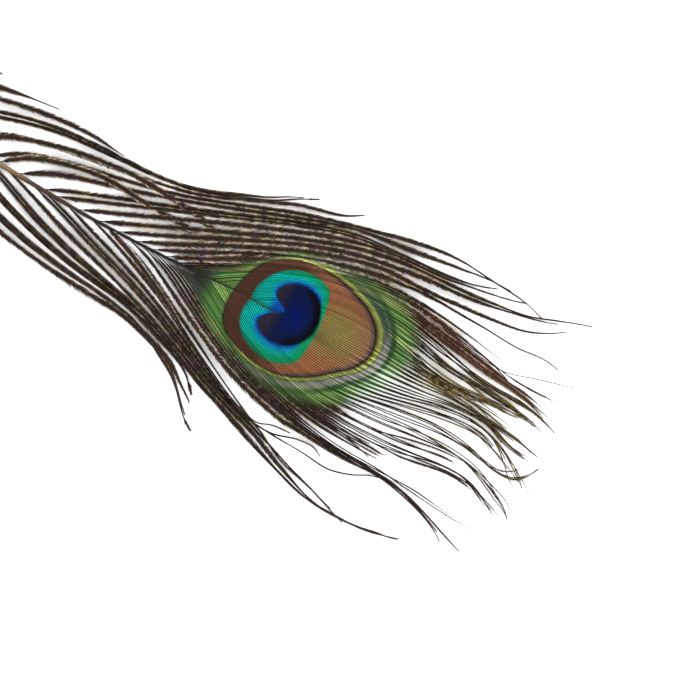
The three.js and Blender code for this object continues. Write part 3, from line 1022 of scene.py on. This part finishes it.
def make_eye_group():
    """The eye's pattern, how far a point is outside its rim, and how strong its lines are."""
    nodes, given, out = new_group(
        "eye_pattern",
        [("Point", "Vector"), ("Jitter", "Float")],
        [("Colour", "Color"), ("Inside", "Float"), ("Outside", "Float"), ("Turn", "Float"),
         ("Lines", "Float")],
    )
    point = given["Point"]
    x, y, _ = nodes.split(point)
    near = around(nodes, point, HEART_CENTRE)
    wide = around(nodes, point, PATCH_CENTRE)
    heart = radius_curve(nodes, near["Turn"], HEART)
    disc = radius_curve(nodes, near["Turn"], DISC)
    patch = radius_curve(nodes, wide["Turn"], PATCH)
    rim = nodes.add(patch, radius_curve(nodes, wide["Turn"], RIM_WIDTH, WIDEST_RIM))
    r_near = nodes.add(near["Distance"], nodes.times(given["Jitter"], 0.3))
    r_wide = nodes.add(wide["Distance"], nodes.times(given["Jitter"], 0.45))

    # the dark heart: navy in the middle, brown in its lobes, black at its right edge
    to_edge = nodes.less(heart, r_near)
    right_edge = nodes.times(nodes.step(to_edge, 3.4, 0.8), nodes.step(x, 0.5, 5.0))
    glow = nodes.times(nodes.step(r_near, 7.0, 1.0), nodes.step(x, -2.5, 1.5))
    heart_colour = nodes.blend(glow, NAVY, NAVY_BRIGHT)
    heart_colour = nodes.blend(nodes.step(x, 0.0, -3.5), heart_colour, LOBE_BROWN)
    heart_colour = nodes.blend(right_edge, heart_colour, HEART_BLACK)

    # the disc: blue beside the heart, turquoise and green at its edge
    room = nodes.math("MAXIMUM", nodes.less(disc, heart), 0.3)
    out_share = nodes.math("DIVIDE", nodes.less(r_near, heart), room, clamp=True)
    disc_colour = nodes.ramp(
        out_share,
        [(0.0, EYE_BLUE), (0.05, EYE_BLUE), (0.22, EYE_AZURE), (0.46, EYE_TEAL), (1.0, EYE_TEAL)],
    )
    notch = around(nodes, point, NOTCH_CENTRE)["Distance"]
    disc_colour = nodes.blend(nodes.step(notch, 5.0, 2.0), disc_colour, EYE_BLUE)
    jade = nodes.times(nodes.step(out_share, 0.4, 0.8), nodes.step(x, -8.0, -2.0))
    disc_colour = nodes.blend(jade, disc_colour, EYE_JADE)
    disc_colour = nodes.blend(nodes.step(x, 6.0, 8.5), disc_colour, EYE_JADE)
    leafy = nodes.times(nodes.step(out_share, 0.8, 1.05), 0.45)
    disc_colour = nodes.blend(leafy, disc_colour, EYE_LEAF)

    # the bronze patch: olive gold in the middle, rust at the top, brown on the left
    gold_spot = around(nodes, point, GOLD_SPOT_CENTRE)["Distance"]
    patch_colour = nodes.blend(nodes.step(x, 15.0, 23.0), BRONZE, ROSE_BRONZE)
    patch_colour = nodes.blend(nodes.step(y, 9.0, 15.0), patch_colour, RUST)
    patch_colour = nodes.blend(nodes.step(gold_spot, 10.5, 2.5), patch_colour, OLIVE_GOLD)
    patch_colour = nodes.blend(nodes.step(x, 8.5, -3.0), patch_colour, DARK_BROWN_RING)
    plum = nodes.times(nodes.step(nodes.less(patch, r_wide), 1.5, 0.2), nodes.step(x, 0.0, 12.0))
    patch_colour = nodes.blend(nodes.times(plum, 0.85), patch_colour, PLUM)

    # the rim: a thin dark line inside, bright yellow-green outside
    rim_room = nodes.math("MAXIMUM", nodes.less(rim, patch), 0.2)
    rim_share = nodes.math("DIVIDE", nodes.less(r_wide, patch), rim_room, clamp=True)
    rim_colour = nodes.ramp(
        rim_share, [(0.0, RIM_LINE), (0.12, RIM_LINE), (0.35, RIM_OLIVE), (0.65, YELLOW_GREEN)]
    )
    rim_colour = nodes.blend(nodes.step(x, -4.0, -12.0), rim_colour, RIM_LINE)

    in_patch = nodes.step(nodes.less(patch, r_wide), -0.1, 0.25)
    colour = nodes.blend(in_patch, rim_colour, patch_colour)
    colour = nodes.blend(nodes.step(nodes.less(disc, r_near), -0.2, 0.35), colour, disc_colour)
    colour = nodes.blend(nodes.step(to_edge, -0.5, 0.35), colour, heart_colour)
    nodes.feed(out["Colour"], colour)
    nodes.feed(out["Inside"], nodes.step(nodes.less(rim, r_wide), -0.2, 0.2))
    nodes.feed(out["Outside"], nodes.less(r_wide, rim))
    nodes.feed(out["Turn"], wide["Turn"])

    # the barbs show as lines, dark stems with painted shade at the barbule feet: hardly in the
    # heart, most in the rim, more on the right side
    lines = nodes.blend_value(nodes.step(x, 5.0, -5.0), 1.0, 0.6)
    lines = nodes.blend_value(nodes.step(nodes.less(disc, r_near), -0.2, 0.2), lines, 0.95)
    lines = nodes.blend_value(nodes.step(to_edge, -0.2, 0.3), lines, 0.2)
    lines = nodes.times(lines, nodes.blend_value(nodes.step(y, -2.0, 6.0), 1.0, 0.85))
    nodes.feed(out["Lines"], lines)
    return nodes.tree


eye_group = make_eye_group()

FEATHER_SOCKETS = [
    ("Point", "Vector"), ("Sparkle", "Float"), *((name, "Float") for name in BARB_VALUES),
]
# How fine the flecks are along a barb, which place the painted copper and gold glints and the red
# and olive gold patches, and how much they differ from barb to barb.
FLECKS_ALONG = 75.0
FLECKS_BETWEEN = 40.0


def make_herl_group():
    """The dark barbs outside the eye: brown, with copper, gold and cream glints."""
    nodes, given, out = new_group("herl_colour", FEATHER_SOCKETS, [("Colour", "Color")])
    point, sparkle, share, glint, own, depth, pale, ridge = (
        given[name] for name, _ in FEATHER_SOCKETS
    )
    x, y, _ = nodes.split(point)

    # brown, with patches of green and plum
    body = nodes.blend(nodes.step(glint, 0.1, 0.9), HERL_DARK, HERL_BROWN)
    tint = nodes.noise(point, 0.35, 3.0)
    body = nodes.blend(nodes.times(nodes.step(tint, 0.52, 0.66), 0.6), body, HERL_GREEN)
    body = nodes.blend(nodes.times(nodes.step(tint, 0.46, 0.34), 0.7), body, HERL_PLUM)

    # painted copper glints along each barb, and a red bundle on the left of the fringe
    along = nodes.join(nodes.times(share, FLECKS_ALONG), nodes.times(own, FLECKS_BETWEEN))
    flecks = nodes.noise(along, 1.0)
    lucky = nodes.math("MULTIPLY_ADD", nodes.less(flecks, 0.5), 2.5, nodes.times(glint, 0.36))
    copper_glint = nodes.times(nodes.step(lucky, 0.4, 0.75), 0.7, sparkle)
    body = nodes.blend(copper_glint, body, HERL_COPPER_GLINT)
    bundle = nodes.times(nodes.step(y, 11.0, 16.0), nodes.step(y, 23.0, 20.0))
    red = nodes.times(bundle, nodes.step(x, 24.0, 46.0), flecks, 0.7)
    body = nodes.blend(red, body, HERL_RED)

    # painted highlights: gold and cream glints on the ends of the barbules, wider on the left
    on_left = nodes.step(y, -6.0, 6.0)
    ends = nodes.step(depth, nodes.blend_value(on_left, 0.5, 0.45), 0.8)
    gold_highlight = nodes.times(nodes.step(lucky, 0.1, 0.36), ends, sparkle)
    gold_highlight = nodes.times(gold_highlight, nodes.blend_value(on_left, 0.7, 1.0))
    body = nodes.blend(gold_highlight, body, nodes.blend(own, HERL_GOLD_HIGHLIGHT, HERL_CREAM_HIGHLIGHT))
    # the stems are dark in their own colour; the feet of the barbules get painted shade
    foot_shade = nodes.times(nodes.step(depth, 0.45, 0.0), 0.55)
    dark = nodes.math("MAXIMUM", nodes.times(ridge, 0.75), foot_shade)
    body = nodes.blend(dark, body, HERL_BLACK)

    # pale ends near the roots
    pale_from = nodes.math("MULTIPLY_ADD", pale, -0.8, 1.0)
    pale_end = nodes.step(depth, pale_from, nodes.add(pale_from, 0.25))
    pale_end = nodes.times(pale_end, nodes.step(pale, 0.02, 0.15), 0.9)
    body = nodes.blend(pale_end, body, PALE_GREY)

    # brown tips, and olive gold on some barbs in the middle of the fringe
    body = nodes.blend(nodes.times(nodes.step(share, 0.65, 0.95), 0.6), body, TIP_BROWN)
    golden = nodes.times(nodes.step(y, -14.0, -4.0), nodes.step(y, 16.0, 8.0))
    chosen = nodes.step(nodes.add(nodes.times(own, 0.3), flecks), 0.5, 0.78)
    golden = nodes.times(golden, chosen, nodes.step(ridge, 1.2, 0.2), nodes.step(x, 36.0, 44.0))
    body = nodes.blend(golden, body, TIP_GOLD)
    nodes.feed(out["Colour"], body)
    return nodes.tree


herl_group = make_herl_group()


def make_feather_group():
    """The whole feather's colour at a point: eye, green surround and dark herl."""
    nodes, given, out = new_group("feather_colour", FEATHER_SOCKETS, [("Colour", "Color")])
    point = given["Point"]
    x, y, _ = nodes.split(point)
    centred = nodes.less(given["Glint"], 0.5)
    own = nodes.less(given["Barb"], 0.5)
    jitter = nodes.add(nodes.times(centred, 0.7), nodes.less(nodes.noise(point, 1.4), 0.5))
    eye = nodes.group(eye_group, Point=point, Jitter=jitter)
    herl = nodes.group(herl_group, **{name: given[name] for name, _ in FEATHER_SOCKETS})

    # each barb is dark along its middle in its own colour, and the foot of each barbule gets
    # painted shade
    foot_shade = nodes.times(nodes.step(given["Depth"], 0.45, 0.0), 0.85)
    ridge = nodes.math("MAXIMUM", given["Ridge"], foot_shade)

    # green round the eye, which runs out along each barb at its own distance
    reach = radius_curve(nodes, eye["Turn"], GREEN_REACH, FURTHEST_GREEN)
    spread = nodes.add(eye["Outside"], nodes.times(own, 2.6), nodes.times(centred, 0.8))
    strong = radius_curve(nodes, eye["Turn"], GREEN_STRENGTH, 1.0)
    strong = nodes.add(strong, nodes.times(own, nodes.less(1.0, strong)))
    green = nodes.times(nodes.step(nodes.math("DIVIDE", spread, reach), 1.1, 0.5), strong)
    leaf = nodes.blend(nodes.times(nodes.step(own, 0.1, 0.45), 0.8), LEAF_GREEN, GOLD_GREEN)
    leaf = nodes.blend(nodes.times(nodes.step(own, -0.15, -0.45), 0.8), leaf, DEEP_GREEN)
    leaf = nodes.blend(nodes.step(x, -18.5, -24.0), leaf, TEAL_GREY)
    leaf = nodes.blend(nodes.times(ridge, 0.9), leaf, HERL_BLACK)
    surround = nodes.blend(green, herl["Colour"], leaf)

    # the grey ring outside the rim, and the dark green one outside it
    strength = radius_curve(nodes, eye["Turn"], GREY_RING, 1.0)
    outside = eye["Outside"]
    grey = nodes.times(nodes.step(outside, 2.8, 1.2), nodes.step(outside, -0.1, 0.9))
    dark = nodes.times(nodes.step(outside, 4.2, 3.2), nodes.step(outside, 2.0, 2.6))
    dark_line = nodes.step(outside, 0.7, 0.2)
    surround = nodes.blend(nodes.times(dark, strength, 0.85), surround, RING_GREEN)
    ring = nodes.blend(nodes.step(y, 6.0, 12.0), GREY_LILAC, SLATE)
    ring = nodes.blend(nodes.times(given["Ridge"], 0.85), ring, HERL_DARK)
    surround = nodes.blend(nodes.times(grey, strength, 0.95), surround, ring)
    surround = nodes.blend(nodes.times(dark_line, 0.5), surround, DEEP_GREEN)

    # the eye over it all; each barbule a little brighter or darker than the next as painted
    # glints, and the ends of the barbules lighter as a painted highlight
    lined = nodes.blend(nodes.times(ridge, eye["Lines"]), eye["Colour"], HERL_BLACK)
    colour = nodes.blend(eye["Inside"], surround, lined)
    by_blade = nodes.blend_value(given["Glint"], 0.62, 0.94)
    by_barb = nodes.blend_value(given["Barb"], 0.93, 1.07)
    end_highlight = nodes.blend_value(nodes.step(given["Depth"], 0.3, 0.7), 0.94, 1.14)
    shade = nodes.times(by_blade, by_barb, end_highlight)
    scale = nodes.new("ShaderNodeVectorMath", operation="SCALE")
    nodes.feed(scale.inputs[0], colour)
    nodes.feed(scale.inputs["Scale"], shade)
    nodes.feed(out["Colour"], scale.outputs[0])
    return nodes.tree


feather_group = make_feather_group()


def make_barb_material(name, sparkle):
    """Barbs with the feather's colours, and painted glints as strong as the sparkle."""
    material, nodes, shader, point = new_material(name)
    values = {value: nodes.value_of(value.lower()) for value in BARB_VALUES}
    colour = nodes.group(feather_group, Point=point, Sparkle=sparkle, **values)
    nodes.feed(shader["Base Color"], colour["Colour"])
    nodes.feed(shader["Roughness"], nodes.blend_value(values["Glint"], 0.55, 0.38))
    shader["Specular IOR Level"].default_value = 0.07
    return material


eye_material = make_barb_material("eye_vane", 0.8)
herl_material = make_barb_material("herl", 0.85)

# The shaft's colour at shares of its length, from the quill's end.
SHAFT_COLOURS = [
    (0.0, from_srgb(196, 180, 146)),
    (0.2, from_srgb(214, 200, 168)),
    (0.45, from_srgb(150, 120, 84)),
    (0.6, from_srgb(60, 44, 32)),
    (0.72, from_srgb(22, 18, 15)),
    (1.0, from_srgb(26, 24, 18)),
]
QUILL_END = 195
SHAFT_LENGTH = 200.0


def make_shaft_material():
    """Cream horn at the quill, brown and then black towards the tip, streaked lengthwise."""
    material, nodes, shader, point = new_material("quill")
    x, y, z = nodes.split(point)
    stretched = nodes.join(nodes.times(x, 0.06), nodes.times(y, 1.6), nodes.times(z, 1.6))
    streaks = nodes.noise(stretched, 1.0, 4.0)
    length = nodes.add(x, nodes.times(nodes.less(streaks, 0.5), 26))
    share = nodes.math("DIVIDE", nodes.add(length, QUILL_END), SHAFT_LENGTH, clamp=True)
    nodes.feed(shader["Base Color"], nodes.ramp(share, SHAFT_COLOURS))
    nodes.feed(shader["Roughness"], nodes.blend_value(streaks, 0.3, 0.5))
    shine = nodes.blend_value(nodes.step(x, -70, -110), 0.1, 0.4)
    nodes.feed(shader["Specular IOR Level"], shine)
    bump = nodes.new("ShaderNodeBump")
    bump.inputs["Strength"].default_value = 0.25
    bump.inputs["Distance"].default_value = 0.1 * MM
    nodes.feed(bump.inputs["Height"], streaks)
    nodes.feed(shader["Normal"], bump.outputs[0])
    return material


# ---------------------------------------------------------------- pieces


def make_barb_pieces():
    """One mesh for each lock, with its barbs and the ones that slipped away from it."""
    barbs = grow_barbs()
    measure_gaps(barbs)
    for lock in LOCKS:
        for full, points in STRAYS.get(lock.node, []):
            stray = Barb(lock, even_line(points), full)
            stray.gap_left = stray.gap_right = np.full(len(stray.line), STRAY_GAP)
            barbs.append(stray)
    for lock in LOCKS:
        heap = Heap()
        for barb in barbs:
            if barb.lock is lock:
                lay_out(barb)
                add_ramus(heap, barb)
                add_barbules(heap, barb, 1)
                add_barbules(heap, barb, -1)
        name = lock.node.replace("loose_barbs", "herl").replace("eye_barbs", "eye_vane")
        piece = mesh_from(heap, name)
        piece.data.materials.append(eye_material if lock.eye else herl_material)
        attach(piece, "root")
        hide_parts(lock.node)


SHAFT_SIDES = 16
SHAFT_STEP = 1.0


def make_shaft():
    """The quill and rachis: a ring of points drawn along the shaft's line."""
    stations = np.array(SHAFT_LINE)
    line = even_line(stations[:, :2], SHAFT_STEP)
    radii = np.interp(line[:, 0], stations[:, 0], stations[:, 2])
    along = directions(line)
    shape = bmesh.new()
    made = bmesh.ops.create_circle(shape, cap_ends=False, segments=SHAFT_SIDES, radius=1.0)
    ends = made["verts"]
    ring = list(shape.edges)
    rest = [vertex.co.copy() for vertex in ends]

    def place(vertices, i):
        for vertex, unit in zip(vertices, rest):
            aside = unit.x * radii[i]
            height = max(radii[i] * (unit.y + 1), 0)
            vertex.co = Vector((
                line[i, 0] + aside * along[i, 1],
                line[i, 1] - aside * along[i, 0],
                height,
            )) * MM

    place(ends, 0)
    start = list(ring)
    current = list(ends)
    for i in range(1, len(line)):
        made = bmesh.ops.extrude_edge_only(shape, edges=ring)["geom"]
        fresh = [item for item in made if isinstance(item, bmesh.types.BMVert)]
        ring = [item for item in made if isinstance(item, bmesh.types.BMEdge)
                and all(vertex in fresh for vertex in item.verts)]
        ordered = []
        for vertex in current:
            linked = [edge.other_vert(vertex) for edge in vertex.link_edges]
            ordered.append(next(other for other in linked if other in fresh))
        current = ordered
        place(current, i)
    bmesh.ops.contextual_create(shape, geom=start)
    bmesh.ops.contextual_create(shape, geom=ring)
    bmesh.ops.recalc_face_normals(shape, faces=shape.faces)
    mesh = bpy.data.meshes.new("quill_and_rachis")
    shape.to_mesh(mesh)
    shape.free()
    for face in mesh.polygons:
        face.use_smooth = len(face.vertices) == 4
    piece = bpy.data.objects.new("quill_and_rachis", mesh)
    bpy.context.scene.collection.objects.link(piece)
    mesh.materials.append(make_shaft_material())
    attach(piece, "root")
    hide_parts("shaft")


make_barb_pieces()
make_shaft()

# ---------------------------------------------------------------- floor and light

FLOOR_HALF = 3.0
FLOOR_HEIGHT = -0.02 * MM
SKY_STRENGTH = 1.5
# Each lamp's name, place, size and power.
LAMPS = [
    ("key_light", (0.35, 0.75, 0.9), 0.45, 10.0),
    ("fill_light", (-0.6, -0.4, 1.0), 0.9, 3.0),
]


def make_floor():
    mesh = bpy.data.meshes.new("floor")
    signs = [(-1, -1), (1, -1), (1, 1), (-1, 1)]
    corners = [(x * FLOOR_HALF, y * FLOOR_HALF, FLOOR_HEIGHT) for x, y in signs]
    mesh.from_pydata(corners, [], [(0, 1, 2, 3)])
    floor = bpy.data.objects.new("floor", mesh)
    bpy.context.scene.collection.objects.link(floor)
    material = bpy.data.materials.new("pale_floor")
    material.use_nodes = True
    shader = material.node_tree.nodes["Principled BSDF"]
    shader.inputs["Base Color"].default_value = (0.97, 0.97, 0.97, 1)
    shader.inputs["Roughness"].default_value = 0.9
    shader.inputs["Specular IOR Level"].default_value = 0.1
    mesh.materials.append(material)


def make_area_light(name, place, size, watts):
    data = bpy.data.lights.new(name, "AREA")
    data.shape = "SQUARE"
    data.size = size
    data.energy = watts
    light = bpy.data.objects.new(name, data)
    light.location = place
    light.rotation_euler = (-Vector(place)).to_track_quat("-Z", "Y").to_euler()
    bpy.context.scene.collection.objects.link(light)


def make_world():
    world = bpy.data.worlds.new("soft_sky")
    world.use_nodes = True
    sky = world.node_tree.nodes["Background"]
    sky.inputs["Color"].default_value = (1, 1, 1, 1)
    sky.inputs["Strength"].default_value = SKY_STRENGTH
    bpy.context.scene.world = world


make_floor()
make_world()
for lamp in LAMPS:
    make_area_light(*lamp)
bpy.context.scene.view_settings.view_transform = "Standard"

# ---------------------------------------------------------------- hand-over

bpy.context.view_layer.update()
